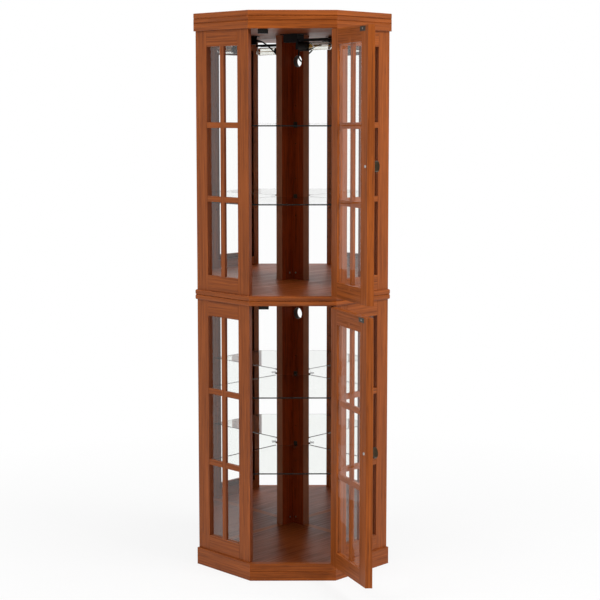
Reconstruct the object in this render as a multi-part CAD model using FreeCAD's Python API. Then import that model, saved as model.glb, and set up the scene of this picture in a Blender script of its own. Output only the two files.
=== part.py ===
# Corner curio cabinet: two glazed units, one on the other, in a five-sided corner plan.
# Millimetres, +Z up, +Y towards the corner of the room. The origin is the middle of the
# underside of the plinth's front board.
import FreeCAD
import Part

import math
import os
from FreeCAD import Rotation, Vector

# Plan
room_corner = 90.0  # angle between the two walls that the cabinet stands against
front_width = 274.0  # crown and plinth, across the front face
side_width = 253.0  # crown and plinth, along each side face

# Heights
total_height = 1800.0
plinth_height = 56.0
crown_height = 56.0
divider_thickness = 16.0  # each of the two boards between the units
top_panel_thickness = 17.5
crown_band = 14.0  # upper band of the crown rails, above their groove
crown_groove = 2.5  # depth of the V-grooves between the bands of the crown
lip_height = 26.0  # strip on top of the plinth's front board
inner_panel_thickness = 16.0  # floor of the lower unit, ceiling of the upper one
rail_thickness = 18.0  # crown rails and plinth boards
nosing_radius = 5.0  # rounded front and side edges of the dividers
nosing_share = 0.45  # the most of a divider's thickness that its nosing takes
board_ease = 1.5  # chamfers on the crown and plinth faces
glass_ease = 0.6  # polished edges of the shelves

# Windows and doors
frame_thickness = 20.0
side_setback = 8.0  # window faces behind the crown's side faces
door_setback = 10.0  # door faces behind the crown's front face
stile_width = 52.0
rail_width = 50.0
muntin_width = 18.0
muntin_setback = 1.0
middle_lite_height = 217.0
glass_seat = 10.0  # from the outer face of a frame to its glass
pane_thickness = 3.0
rabbet_width = 18.0  # holds the edge of the glass and the strip behind it
pane_clearance = 0.5
frame_ease = 0.8
door_gap = 2.0  # above and below each door
door_opening = 113.0  # how far the doors stand open as stored

# Hinges
leaf_thickness = 1.0
leaf_gap = 0.5  # between the leaves of a closed hinge
leaf_width = 19.0
leaf_lead = 0.05  # the leaf starts this far before the edge of its frame
knuckle_radius = 3.0
knuckle_clearance = 0.5
knuckle_count = 5
knuckle_gap = 0.3
hinge_height = 50.0
hinge_inset = 90.0  # middle of a hinge from the end of its door
pin_radius = 1.25
pin_clearance = 0.05
pin_head_radius = 2.2
pin_head_height = 1.2

# Screws
screw_radius = 1.4
screw_length = 12.0
flush_head_radius = 2.6
flush_head_height = 0.7
pan_head_radius = 3.2
pan_head_height = 1.8

# Knobs, catches and strike plates
knob_inset = 23.0  # middle of the knob from the free edge of the door
knob_radius = 17.0
knob_length = 20.0
knob_neck_radius = 7.0
knob_foot_radius = 10.5
knob_dome = 1.5
knob_edge = 9.5  # width of the rim
knob_flare = 3.0
knob_screw_radius = 2.0
knob_screw_head_radius = 4.2
knob_screw_bite = 9.0  # how far the screw goes into the knob
strike_width = 36.0
strike_height = 14.0
strike_thickness = 1.2
strike_drop = 10.0  # middle of the strike plate below the top of the door
catch_inset = 44.0  # middle of the catch from the free edge of the door
catch_width = 32.0
catch_depth = 16.0
catch_height = 14.0
catch_screw_setback = 11.2  # behind the front of the catch
catch_screw_spacing = 19.2
catch_clearance = 0.3  # between the closed door's strike plate and the pole plates
pole_thickness = 1.5
pole_reach = 0.8  # pole plates in front of the catch body
pole_depth = 5.3  # pole plates inside the catch body
pole_pitch = 5.0
pole_margin = 2.0

# Mirrored back and corner post
mirror_thickness = 3.0
mirror_groove_clearance = 0.2
mirror_edge_clearance = 1.0
mirror_back_lip = 3.0  # wood left behind each mirror
mirror_groove_depth = 8.0
post_board_thickness = 20.0
post_board_width = 71.0
cable_hole_radius = 20.0
cable_hole_inset = 24.0  # middle of the hole from the inner corner of the post
cable_hole_drop = 85.0  # middle of the hole below the ceiling of its unit
post_screw_height = 23.0
post_screw_inset = 15.0

# Shelves
shelf_thickness = 4.0
low_shelf_height = 286.0  # tops of the shelves above the floor of their unit
high_shelf_height = 532.0
shelf_setback = 5.0  # front edge of a shelf behind the closed door
shelf_side_clearance = 2.0
shelf_post_clearance = 4.0
peg_radius = 2.5
peg_depth = 9.0
peg_reach = 12.0
peg_spacing = 64.0  # spare peg holes above and below each shelf
arm_width = 8.0  # rear shelf support
arm_height = 5.0
arm_overlap = 14.0
arm_plate_width = 14.0
arm_plate_height = 20.0
arm_plate_rise = 11.0  # top of the plate above the underside of the shelf
arm_plate_thickness = 4.0

# Lamp under the ceiling of the upper unit
lamp_depth = 342.9  # from the origin back to the rear end of the junction box
lamp_offset = 19.7  # rear end of the junction box left of the middle
lamp_turn = -40.0  # the lamp points forward and to the right
lamp_drop = 42.0
junction_length = 60.0
junction_width = 34.0
junction_height = 28.0
plate_end = 14.0  # ceiling plate beyond each end of the junction box
plate_thickness = 2.0
plate_screw_inset = 7.0  # screws from the ends of the ceiling plate
arm_length = 10.0  # arm down from the junction box that carries the lampholder
arm_drop = 10.0  # foot of that arm below the lamp's axis
shield_gap = 1.5  # heat shield above the lampholder
shield_width = 27.0
shield_lip = 8.0
shield_thickness = 1.5
shield_end = 5.0  # end of the bulb beyond the shield
holder_length = 33.0
holder_radius = 15.0
collar_length = 8.0
collar_radius = 13.0
cap_radius = 8.0
cap_length = 27.0
cap_clearance = 0.2
cap_show = 2.0
bulb_radius = 13.5
bulb_length = 88.0
bulb_wall = 1.0
bulb_shoulder = 3.3  # length of the cone between the cap and the tube
filament_radius = 0.8
filament_inset = 9.0
support_radius = 0.45
support_spread = 2.0  # from the filament to each support wire
link_radius = 0.35
link_inset = 0.9  # links from the ends of the support wires
coil_lead = 1.8  # the filament starts this far before its hook's wire ends
stem_radius = 3.0
stem_length = 5.5

# Cord, with an in-line switch and a two-blade plug
cord_diameter = 5.0
bend_share = 0.45
cord_route = [
    (-2.64, 350.78, 1729),
    (12.78, 369.17, 1729),
    (20.5, 388, 1717),
    (22, 407, 1700),
    (20, 424, 1683),
    (20.5, 441, 1668),
    (32.5, 455, 1655.5),
    (48.5, 465, 1646.5),
    (64.5, 468.5, 1632),
    (76.5, 467, 1611),
    (82, 464.5, 1582),
    (83.7, 462.58, 1530),
    (83.86, 462.21, 1462),
    (83.77, 461.91, 1392),
    (83.53, 461.57, 1320),
    (83.14, 461.18, 1247),
    (82.67, 460.7, 1175),
    (82.1, 460.13, 1103),
    (81.43, 459.47, 1031),
    (80.67, 458.7, 958),
    (79.82, 457.85, 886),
    (78.86, 456.9, 813),
    (77.83, 455.86, 741),
    (76.7, 454.73, 669),
    (75.48, 453.51, 597),
    (74.14, 452.18, 524),
    (72.74, 450.77, 452),
    (71.24, 449.27, 380),
    (69.64, 447.68, 308),
    (67.96, 445.99, 236),
    (66.46, 444.49, 175),
    (64.91, 442.94, 119),
]
switch_run_index = 16  # the switch lies on the run after this point of the route
switch_length = 62.0
switch_width = 26.0
switch_depth = 20.0
switch_corner = 6.0
switch_cord_clearance = 0.3
rocker_length = 20.0
rocker_width = 12.0
rocker_gap = 0.5
rocker_rise = 1.5
rocker_well = 5.5  # depth of the hollow that the rocker tilts in
rocker_tilt = 7.0
rocker_depth = 4.1  # middle of the rocker inside the switch
rocker_edge_depth = 1.1  # ends of the rocker inside the switch
rocker_dish = 0.9
rocker_axle_depth = 2.2  # axle below the face of the switch
rocker_axle_radius = 1.2
rocker_axle_clearance = 0.05
rocker_axle_end = 3.0
plug_length = 36.0
plug_width = 26.0
plug_depth = 18.0
plug_neck_length = 16.0
plug_neck_radius = 5.0
plug_tip_radius = 3.5  # where the cord enters the plug's neck
plug_corner = 5.4
blade_length = 17.5
blade_width = 6.3
blade_thickness = 1.5
blade_spacing = 12.7

far = 4000.0  # longer than anything in the cabinet
cut_over = 1.0  # a cut runs this far past the face that it opens
tolerance = 1e-6

# Derived plan lines. A plan line is (normal x, normal y, distance along the normal).
half_corner = math.radians(room_corner / 2)
mitre = half_corner / 2  # half the turn from the front face to a side face
front_face = -rail_thickness / 2
front_corner = (front_width / 2, front_face)
side_corner = (
    front_corner[0] + side_width * math.cos(half_corner),
    front_corner[1] + side_width * math.sin(half_corner),
)
centre_line = (1.0, 0.0, 0.0)


def dot(a, b):
    return a[0] * b[0] + a[1] * b[1]


def front_line(inset):
    return (0.0, -1.0, -front_face - inset)


def side_line(inset):
    normal = (math.sin(half_corner), -math.cos(half_corner))
    return (*normal, dot(normal, front_corner) - inset)


def wall_line(inset):
    normal = (math.cos(half_corner), math.sin(half_corner))
    return (*normal, dot(normal, side_corner) - inset)


def left(line):
    return (-line[0], line[1], line[2])


def crossing(a, b):
    scale = a[0] * b[1] - a[1] * b[0]
    return ((a[2] * b[1] - a[1] * b[2]) / scale, (a[0] * b[2] - a[2] * b[0]) / scale)


apex = crossing(wall_line(0), centre_line)
frame_corner = crossing(front_line(door_setback), side_line(side_setback))
frame_rear = crossing(side_line(side_setback), wall_line(0))
window_width = math.dist(frame_corner, frame_rear)
door_width = 2 * frame_corner[0]
corner_gap = 2 * leaf_thickness + leaf_gap

# Derived heights
unit_height = (total_height - plinth_height - crown_height - 2 * divider_thickness) / 2
lower_floor = plinth_height
lower_ceiling = lower_floor + unit_height
upper_floor = lower_ceiling + 2 * divider_thickness
upper_ceiling = upper_floor + unit_height
door_height = unit_height - 2 * door_gap
unit_floors = {"lower": lower_floor, "upper": upper_floor}
unit_ceilings = {"lower": lower_ceiling, "upper": upper_ceiling}
shelf_heights = {"low": low_shelf_height, "high": high_shelf_height}

# The hinge axis stands in front of the corner that the door and the right window share.
hinge_out = knuckle_radius + knuckle_clearance
hinge_axis = (
    frame_corner[0] + hinge_out * math.sin(mitre),
    frame_corner[1] - hinge_out * math.cos(mitre),
)
lamp_height = upper_ceiling - lamp_drop


# Small helpers ---------------------------------------------------------------


def slab(points, z, height):
    """An upright prism over a plan outline."""
    corners = [Vector(x, y, z) for x, y in points]
    return Part.Face(Part.makePolygon(corners + corners[:1])).extrude(Vector(0, 0, height))


def block(x, y, z):
    """A box from its low and high values along each axis."""
    return Part.makeBox(x[1] - x[0], y[1] - y[0], z[1] - z[0], Vector(x[0], y[0], z[0]))


def rod(start, direction, radius, length):
    return Part.makeCylinder(radius, length, Vector(*start), Vector(*direction))


def turned(shape, angle, origin=(0, 0, 0)):
    """The shape turned about +Z, then moved so that its own zero is at origin."""
    return shape.copy().rotated(Vector(), Vector(0, 0, 1), angle).translated(Vector(*origin))


def mirrored(shape):
    return shape.mirror(Vector(), Vector(1, 0, 0))


def joined(first, *others):
    return first.fuse(list(others)).removeSplitter()


def group(solids):
    return Part.makeCompound(list(solids))


def chamfered(solid, size, wanted):
    return solid.makeChamfer(size, [edge for edge in solid.Edges if wanted(edge)])


def middle(edge):
    return edge.valueAt((edge.FirstParameter + edge.LastParameter) / 2)


def is_level(edge):
    return edge.BoundBox.ZLength < tolerance


def on_show_face(edge):
    """True for a level edge on the front face or a side face of the cabinet's outline."""
    point = middle(edge)
    lines = [front_line(0), side_line(0), left(side_line(0))]
    return is_level(edge) and any(
        abs(dot(line, point) - line[2]) < tolerance for line in lines
    )


def screw(head_radius, head_height, shank_radius, shank_length):
    """A screw along +Y, with the outer face of its head at y = 0."""
    head = rod((0, 0, 0), (0, 1, 0), head_radius, head_height)
    shank = rod((0, head_height, 0), (0, 1, 0), shank_radius, shank_length)
    return joined(head, shank)


# Crown, dividers and plinth --------------------------------------------------


def outline(front, side, wall):
    """The cabinet's plan, moved in from each kind of face."""
    right = [
        crossing(front_line(front), side_line(side)),
        crossing(side_line(side), wall_line(wall)),
        crossing(wall_line(wall), centre_line),
    ]
    return right + [(-right[1][0], right[1][1]), (-right[0][0], right[0][1])]


def ring_outlines():
    """Plans of the mitred front, right side and right back boards of a ring."""
    outer = outline(0, 0, 0)
    inner = outline(rail_thickness, rail_thickness, rail_thickness)
    front = [outer[4], outer[0], inner[0], inner[4]]
    side = [outer[0], outer[1], inner[1], inner[0]]
    back = [outer[1], outer[2], inner[2], inner[1]]
    return front, side, back


def eased(plan, z, height, foot_ease, top_ease):
    """A board with its own chamfer at the foot and at the top of each show face."""
    board = slab(plan, z, height)
    for level, ease in ((z, foot_ease), (z + height, top_ease)):

        def at_level(edge, level=level):
            return on_show_face(edge) and abs(middle(edge).z - level) < tolerance

        board = chamfered(board, ease, at_level)
    return board


def crown_rail(plan, z):
    """A crown rail whose face is divided into two bands by a V-groove."""
    rail_height = crown_height - top_panel_thickness
    low = eased(plan, z, rail_height - crown_band, board_ease, crown_groove)
    high = eased(plan, z + rail_height - crown_band, crown_band, crown_groove, crown_groove)
    return joined(low, high)


def pair(solid):
    return group([solid, mirrored(solid)])


def crown():
    front, side, back = ring_outlines()
    rail_height = crown_height - top_panel_thickness
    z = upper_ceiling
    whole = outline(0, 0, 0)
    inner = outline(rail_thickness, rail_thickness, rail_thickness)
    return {
        "top_panel": eased(
            whole, z + rail_height, top_panel_thickness, crown_groove, board_ease
        ),
        "crown_front_rail": crown_rail(front, z),
        "crown_side_rails": pair(crown_rail(side, z)),
        "crown_back_rails": pair(slab(back, z, rail_height)),
        "ceiling_panel": slab(inner, z, inner_panel_thickness),
    }


def divider(z):
    """A board between the units, with a rounded nosing on its front and side edges."""
    board = slab(outline(0, 0, 0), z, divider_thickness)
    radius = min(nosing_radius, nosing_share * divider_thickness)
    return board.makeFillet(radius, [edge for edge in board.Edges if on_show_face(edge)])


def plinth():
    front, side, back = ring_outlines()
    board_height = plinth_height - lip_height
    inner = outline(rail_thickness, rail_thickness, rail_thickness)
    floor_base = plinth_height - inner_panel_thickness
    return {
        "plinth_front_board": eased(front, 0, board_height, board_ease, board_ease),
        "plinth_lip": eased(front, board_height, lip_height, board_ease, board_ease),
        "plinth_side_boards": pair(eased(side, 0, plinth_height, board_ease, board_ease)),
        "plinth_back_boards": pair(slab(back, 0, plinth_height)),
        "lower_floor_panel": slab(inner, floor_base, inner_panel_thickness),
        "lower_top_panel": divider(lower_ceiling),
        "upper_floor_panel": divider(lower_ceiling + divider_thickness),
    }


# Frames, glazing bars and glass ----------------------------------------------
# A frame is built lying along +X from its left corner, with its outer face at y = 0
# and its inner face at y = frame_thickness.


def frame_plan(width, mitred_right):
    """The frame's plan: mitred at its left end, and at its right end if asked."""
    start = corner_gap / 2 / math.cos(mitre)
    slant = frame_thickness * math.tan(mitre)
    right = [(width, 0), (width, frame_thickness)]
    if mitred_right:
        right = [(width - start, 0), (width - start - slant, frame_thickness)]
    return [(start, 0), *right, (start + slant, frame_thickness)]


def frame_members(width, height, rail, mitred_right):
    """Two stiles and two rails, with a rabbet for the glass on the inner side."""
    whole = slab(frame_plan(width, mitred_right), 0, height)
    low, high = stile_width, width - stile_width
    rabbet = block(
        (low - rabbet_width, high + rabbet_width),
        (glass_seat, frame_thickness),
        (rail - rabbet_width, height - rail + rabbet_width),
    )
    depth = (0, frame_thickness)
    places = {
        "left_stile": block((-far, low), depth, (0, height)),
        "right_stile": block((high, far), depth, (0, height)),
        "bottom_rail": block((low, high), depth, (0, rail)),
        "top_rail": block((low, high), depth, (height - rail, height)),
    }
    members = {}
    for name, place in places.items():
        along_x = name.endswith("rail")

        def is_arris(edge, along_x=along_x):
            box = edge.BoundBox
            length = box.XLength if along_x else box.ZLength
            return box.YMax < tolerance and length > tolerance

        members[name] = chamfered(whole.common(place), frame_ease, is_arris).cut(rabbet)
    return members


def glazing_bars(width, height, rail):
    """The muntins on the outer side of the glass, and the strips behind its edges."""
    low, high = stile_width, width - stile_width
    bottom, top = rail, height - rail
    half = muntin_width / 2
    centre = width / 2
    depth = (muntin_setback, glass_seat)
    bars = [block((centre - half, centre + half), depth, (bottom, top))]
    mid = height / 2
    for z in (mid - middle_lite_height / 2 - half, mid + middle_lite_height / 2 + half):
        for span in ((low, centre - half), (centre + half, high)):
            bars.append(block(span, depth, (z - half, z + half)))
    behind = (glass_seat + pane_thickness, frame_thickness)
    for x in (low - rabbet_width, high):
        span = (bottom - rabbet_width, top + rabbet_width)
        bars.append(block((x, x + rabbet_width), behind, span))
    for z in (bottom - rabbet_width, top):
        bars.append(block((low, high), behind, (z, z + rabbet_width)))
    return bars


def pane(width, height, rail):
    reach = rabbet_width - pane_clearance
    return block(
        (stile_width - reach, width - stile_width + reach),
        (glass_seat, glass_seat + pane_thickness),
        (rail - reach, height - rail + reach),
    )


# Windows ---------------------------------------------------------------------


def in_window(shape, floor):
    """Moves a shape from the frame's own place to the right window of a unit."""
    return turned(shape, math.degrees(half_corner), (*frame_corner, floor))


def peg_places():
    """Along-the-frame places and heights of the pegs that carry the shelves."""
    stiles = (stile_width / 2, window_width - stile_width / 2)
    return [
        (x, height - shelf_thickness - peg_radius)
        for x in stiles
        for height in shelf_heights.values()
    ]


def peg(x, z):
    """A shelf peg in the inner face of a window frame."""
    start = (x, frame_thickness - peg_depth, z)
    return rod(start, (0, 1, 0), peg_radius, peg_depth + peg_reach)


def peg_holes():
    """The holes of the pegs, and a spare hole above and below each."""
    holes = []
    for x, z in peg_places():
        for shift in (-peg_spacing, 0, peg_spacing):
            start = (x, frame_thickness - peg_depth, z + shift)
            holes.append(rod(start, (0, 1, 0), peg_radius, peg_depth + cut_over))
    return holes


def window_frame(unit, has_hinges):
    """The right window's stiles and rails; the left one is its mirror image."""
    members = frame_members(window_width, unit_height, rail_width, False)
    groove_width = mirror_thickness + mirror_groove_clearance
    groove_end = window_width - mirror_back_lip
    groove = block(
        (groove_end - groove_width, groove_end),
        (frame_thickness - mirror_groove_depth, frame_thickness),
        (0, unit_height),
    )
    cuts = peg_holes()
    members["right_stile"] = members["right_stile"].cut([groove, *cuts])
    members["left_stile"] = members["left_stile"].cut(cuts)
    solids = [in_window(member, unit_floors[unit]) for member in members.values()]
    if has_hinges:
        screws = [hinge_screw(z, -1) for z in hinge_screw_heights(unit)]
        solids = [solid.cut(screws) for solid in solids]
    return group(solids)


def windows():
    nodes = {}
    for unit in unit_floors:
        nodes[f"{unit}_right_frame"] = window_frame(unit, True)
        nodes[f"{unit}_left_frame"] = mirrored(window_frame(unit, False))
    bars, panes = [], []
    for floor in unit_floors.values():
        for bar in glazing_bars(window_width, unit_height, rail_width):
            bars.append(in_window(bar, floor))
        panes.append(in_window(pane(window_width, unit_height, rail_width), floor))
    nodes["side_glazing_bars"] = group(bars + [mirrored(bar) for bar in bars])
    nodes["side_panes"] = group(panes + [mirrored(glass) for glass in panes])
    return nodes


# Mirrored back and corner post -----------------------------------------------


def post_end_line(inset):
    """The plan line across the end of the right post board."""
    normal = (math.sin(half_corner), -math.cos(half_corner))
    return (*normal, dot(normal, apex) + post_board_width - inset)


def post_inner_corner():
    return crossing(wall_line(post_board_thickness), centre_line)


def on_post(inset):
    """A point on the inner face of the right post board, from the post's inner corner."""
    corner = post_inner_corner()
    return (
        corner[0] + inset * math.sin(half_corner),
        corner[1] - inset * math.cos(half_corner),
    )


def post_board(floor, butt_line):
    """The right post board, up to butt_line, with the groove that holds the mirror."""
    outer, inner = wall_line(0), wall_line(post_board_thickness)
    end = post_end_line(0)
    plan = [
        crossing(outer, butt_line),
        crossing(outer, end),
        crossing(inner, end),
        crossing(inner, butt_line),
    ]
    front = wall_line(mirror_back_lip + mirror_thickness + mirror_groove_clearance)
    rear = wall_line(mirror_back_lip)
    mouth, bottom = post_end_line(-1), post_end_line(mirror_groove_depth)
    groove = [
        crossing(rear, bottom),
        crossing(rear, mouth),
        crossing(front, mouth),
        crossing(front, bottom),
    ]
    return slab(plan, floor, unit_height).cut(slab(groove, floor, unit_height))


def through_post(inset, z, radius, depth):
    """A rod that goes into the inner face of the right post board, straight across it."""
    x, y = on_post(inset)
    across = (math.cos(half_corner), math.sin(half_corner), 0)
    return rod((x, y, z), across, radius, depth)


def mirror_sheet(floor):
    """The right mirror: its edges sit in the post board and in the window's rear stile."""
    rear = wall_line(mirror_back_lip + mirror_groove_clearance / 2)
    front = wall_line(
        mirror_back_lip + mirror_groove_clearance / 2 + mirror_thickness
    )
    post_edge = post_end_line(mirror_groove_depth - mirror_edge_clearance)
    reach = frame_thickness - mirror_groove_depth + mirror_edge_clearance
    side_edge = side_line(side_setback + reach)
    plan = [
        crossing(rear, post_edge),
        crossing(rear, side_edge),
        crossing(front, side_edge),
        crossing(front, post_edge),
    ]
    return slab(plan, floor, unit_height)


def post_screw(floor):
    """A pan-head screw near the foot of the right post board."""
    x, y = on_post(post_screw_inset)
    back = pan_head_height * math.cos(half_corner), pan_head_height * math.sin(half_corner)
    whole = screw(pan_head_radius, pan_head_height, screw_radius, screw_length)
    angle = room_corner / 2 - 90
    return turned(whole, angle, (x - back[0], y - back[1], floor + post_screw_height))


def rear_post():
    nodes = {}
    for unit, floor in unit_floors.items():
        screw_height = floor + post_screw_height
        pilot = through_post(post_screw_inset, screw_height, screw_radius, screw_length)
        hole_height = unit_ceilings[unit] - cable_hole_drop
        cable_depth = post_board_thickness + cut_over
        cable = through_post(cable_hole_inset, hole_height, cable_hole_radius, cable_depth)
        right = post_board(floor, left(wall_line(0)))
        stations = [
            through_post(post_screw_inset, floor + z, peg_radius, peg_depth)
            for z in arm_hole_heights()
        ]
        butted = post_board(floor, left(wall_line(post_board_thickness)))
        nodes[f"{unit}_right_post_board"] = right.cut([pilot, cable, *stations])
        nodes[f"{unit}_left_post_board"] = mirrored(butted.cut(pilot))
        nodes[f"{unit}_right_mirror"] = mirror_sheet(floor)
        nodes[f"{unit}_left_mirror"] = mirrored(mirror_sheet(floor))
    return nodes


# Shelves and their supports --------------------------------------------------


def arm_height_of(shelf_top):
    """Middle of the peg of the rear support that carries a shelf."""
    return shelf_top - shelf_thickness + arm_plate_rise - arm_plate_height / 2


def arm_hole_heights():
    return [
        arm_height_of(height) + shift
        for height in shelf_heights.values()
        for shift in (-peg_spacing, 0, peg_spacing)
    ]


def shelf_front():
    return front_line(door_setback + frame_thickness + shelf_setback)


def shelf_rear():
    """The line across the rear corner of a shelf, just in front of the post."""
    nearest = crossing(wall_line(post_board_thickness), post_end_line(0))
    return (0.0, 1.0, nearest[1] - shelf_post_clearance)


def shelf(top):
    side = side_line(side_setback + frame_thickness + shelf_side_clearance)
    mirror_face = mirror_back_lip + mirror_groove_clearance + mirror_thickness
    back = wall_line(mirror_face + shelf_side_clearance)
    right = [
        crossing(shelf_front(), side),
        crossing(side, back),
        crossing(back, shelf_rear()),
    ]
    plan = right + [(-x, y) for x, y in reversed(right)]
    glass = slab(plan, top - shelf_thickness, shelf_thickness)
    return chamfered(glass, glass_ease, is_level)


def rear_support(top):
    """A peg and plate on the right post board, with an arm forward under the shelf."""
    z = arm_height_of(top)
    under = top - shelf_thickness
    x, y = on_post(post_screw_inset)
    peg_part = through_post(post_screw_inset, z, peg_radius, peg_depth)
    half = arm_plate_width / 2
    plate_top = under + arm_plate_rise
    plate_span = (plate_top - arm_plate_height, plate_top)
    plate = block((-half, half), (-arm_plate_thickness, 0), plate_span)
    plate = turned(plate, room_corner / 2 - 90, (x, y, 0))
    arm_x = x - arm_plate_thickness * math.cos(half_corner)
    tip = shelf_rear()[2] - arm_overlap
    sides = (arm_x - arm_width / 2, arm_x + arm_width / 2)
    board_face = wall_line(post_board_thickness)
    ends = [crossing((1.0, 0.0, side_x), board_face) for side_x in sides]
    arm_plan = [(sides[0], tip), (sides[1], tip), ends[1], ends[0]]
    arm = slab(arm_plan, under - arm_height, arm_height)
    return joined(plate, arm, peg_part)


def shelves():
    nodes = {}
    supports = []
    for unit, floor in unit_floors.items():
        for place, height in shelf_heights.items():
            nodes[f"{unit}_{place}_shelf"] = shelf(floor + height)
            supports.append(rear_support(floor + height))
        for x, z in peg_places():
            right = in_window(peg(x, z), floor)
            supports += [right, mirrored(right)]
    nodes["shelf_supports"] = group(supports)
    return nodes


# Hinges ----------------------------------------------------------------------
# A hinge is built with its axis at the origin, its leaves towards +X, the door's leaf
# on the +Y side and the window's leaf on the -Y side.


def hinge_middles(unit):
    bottom = unit_floors[unit] + door_gap
    return [bottom + hinge_inset, bottom + door_height - hinge_inset]


def hinge_screw_heights(unit):
    return [
        middle_z + shift
        for middle_z in hinge_middles(unit)
        for shift in (-hinge_height / 4, hinge_height / 4)
    ]


def at_hinge(shape):
    return turned(shape, 90 + math.degrees(mitre), (*hinge_axis, 0))


def hinge_screw(z, side):
    """A flush screw through a leaf: side is 1 for the door and -1 for the window."""
    whole = screw(flush_head_radius, flush_head_height, screw_radius, screw_length)
    if side < 0:
        whole = whole.rotated(Vector(), Vector(0, 0, 1), 180)
    x = hinge_out + leaf_width / 2
    return at_hinge(whole.translated(Vector(x, side * leaf_gap / 2, z)))


def hinge_leaf(middle_z, side):
    """A leaf with its knuckles: the window's leaf has the knuckles at both ends."""
    low = middle_z - hinge_height / 2
    near, away = sorted((side * leaf_gap / 2, side * (leaf_gap / 2 + leaf_thickness)))
    start = hinge_out - leaf_lead
    plate = block((start, hinge_out + leaf_width), (near, away), (low, low + hinge_height))
    pitch = hinge_height / knuckle_count
    pieces = []
    for index in range(0 if side < 0 else 1, knuckle_count, 2):
        foot = low + index * pitch + (knuckle_gap / 2 if index else 0)
        last = index == knuckle_count - 1
        tip = low + (index + 1) * pitch - (0 if last else knuckle_gap / 2)
        pieces.append(rod((0, 0, foot), (0, 0, 1), knuckle_radius, tip - foot))
        pieces.append(block((0, start), (near, away), (foot, tip)))
    bore_start, bore_length = (0, 0, low - cut_over), hinge_height + 2 * cut_over
    bore = rod(bore_start, (0, 0, 1), pin_radius + pin_clearance, bore_length)
    return at_hinge(joined(plate, *pieces).cut(bore))


def hinge_pin(middle_z):
    low = middle_z - hinge_height / 2
    shaft = rod((0, 0, low), (0, 0, 1), pin_radius, hinge_height)
    foot = rod((0, 0, low), (0, 0, -1), pin_head_radius, pin_head_height)
    head = rod((0, 0, low + hinge_height), (0, 0, 1), pin_head_radius, pin_head_height)
    return at_hinge(joined(shaft, foot, head))


def drilled_leaf(unit, middle_z, side):
    screws = [hinge_screw(z, side) for z in hinge_screw_heights(unit)]
    return hinge_leaf(middle_z, side).cut(screws)


def window_hinges():
    leaves, pins = [], []
    for unit in unit_floors:
        for middle_z in hinge_middles(unit):
            leaves.append(drilled_leaf(unit, middle_z, -1))
            pins.append(hinge_pin(middle_z))
    return {"frame_hinge_leaves": group(leaves), "hinge_pins": group(pins)}


# Doors -----------------------------------------------------------------------


def in_door(shape, unit):
    """Moves a shape from the frame's own place to a closed door."""
    origin = (-frame_corner[0], frame_corner[1], unit_floors[unit] + door_gap)
    return shape.translated(Vector(*origin))


def opened(shape):
    """Turns a closed door's piece to where it stands as stored."""
    centre = Vector(*hinge_axis, 0)
    return shape.rotated(centre, Vector(0, 0, 1), door_opening)


def knob():
    """A drum knob along -Y from the door's face, with a waist and a slightly domed front."""
    back, edge = knob_length - knob_dome - knob_edge, knob_length - knob_dome
    profile = [
        Vector(0, 0, 0),
        Vector(knob_foot_radius, 0, 0),
        Vector(knob_foot_radius, -knob_flare / 2, 0),
        Vector(knob_neck_radius, -knob_flare, 0),
        Vector(knob_neck_radius, -back + knob_flare, 0),
        Vector(knob_radius, -back, 0),
        Vector(knob_radius, -edge, 0),
    ]
    sphere = (knob_radius**2 + knob_dome**2) / (2 * knob_dome)
    half_angle = math.asin(knob_radius / sphere) / 2
    centre = sphere - knob_length
    bulge = Vector(sphere * math.sin(half_angle), centre - sphere * math.cos(half_angle), 0)
    front = Vector(0, -knob_length, 0)
    edges = [Part.makeLine(a, b) for a, b in zip(profile, profile[1:])]
    edges.append(Part.Arc(profile[-1], bulge, front).toShape())
    edges.append(Part.makeLine(front, profile[0]))
    face = Part.Face(Part.Wire(edges))
    return face.revolve(Vector(), Vector(0, -1, 0), 360)


def knob_screw():
    """From the door's inner face to its knob; y = 0 is the door's outer face."""
    length = frame_thickness + knob_screw_bite
    whole = screw(
        knob_screw_head_radius, pan_head_height, knob_screw_radius, length
    )
    turned_round = whole.rotated(Vector(), Vector(0, 0, 1), 180)
    return turned_round.translated(Vector(0, frame_thickness + pan_head_height, 0))


def strike_screw():
    whole = screw(flush_head_radius, flush_head_height, screw_radius, screw_length)
    turned_round = whole.rotated(Vector(), Vector(0, 0, 1), 180)
    return turned_round.translated(Vector(0, frame_thickness + strike_thickness, 0))


def door(unit):
    rail = rail_width - door_gap
    knob_place = Vector(knob_inset, 0, door_height / 2)
    strike_place = Vector(catch_inset, 0, door_height - strike_drop)
    half = strike_width / 2
    fixing = knob_screw().translated(knob_place)
    strike_fixing = strike_screw().translated(strike_place)
    plate = block(
        (-half, half),
        (frame_thickness, frame_thickness + strike_thickness),
        (-strike_height / 2, strike_height / 2),
    ).translated(strike_place)
    hinge_screws = [hinge_screw(z, 1) for z in hinge_screw_heights(unit)]
    members = frame_members(door_width, door_height, rail, True).values()
    frame = [
        in_door(member.cut([fixing, strike_fixing]), unit).cut(hinge_screws)
        for member in members
    ]
    bars = [in_door(bar, unit) for bar in glazing_bars(door_width, door_height, rail)]
    knob_piece = knob().translated(knob_place).cut(fixing)
    leaves = [drilled_leaf(unit, z, 1) for z in hinge_middles(unit)]
    pieces = {
        "frame": frame,
        "glazing_bars": bars,
        "pane": [in_door(pane(door_width, door_height, rail), unit)],
        "knob": [in_door(knob_piece, unit)],
        "strike_plate": [in_door(plate.cut(strike_fixing), unit)],
        "hinge_leaves": leaves,
        "screws": [in_door(fixing, unit), in_door(strike_fixing, unit), *hinge_screws],
    }
    return {
        f"{unit}_door_{name}": group([opened(solid) for solid in solids])
        for name, solids in pieces.items()
    }


# Magnetic catches ------------------------------------------------------------


def catch_front():
    """The plane of the pole plates, just clear of a closed door's strike plate."""
    inner_face = frame_corner[1] + frame_thickness
    return inner_face + strike_thickness + catch_clearance


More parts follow.
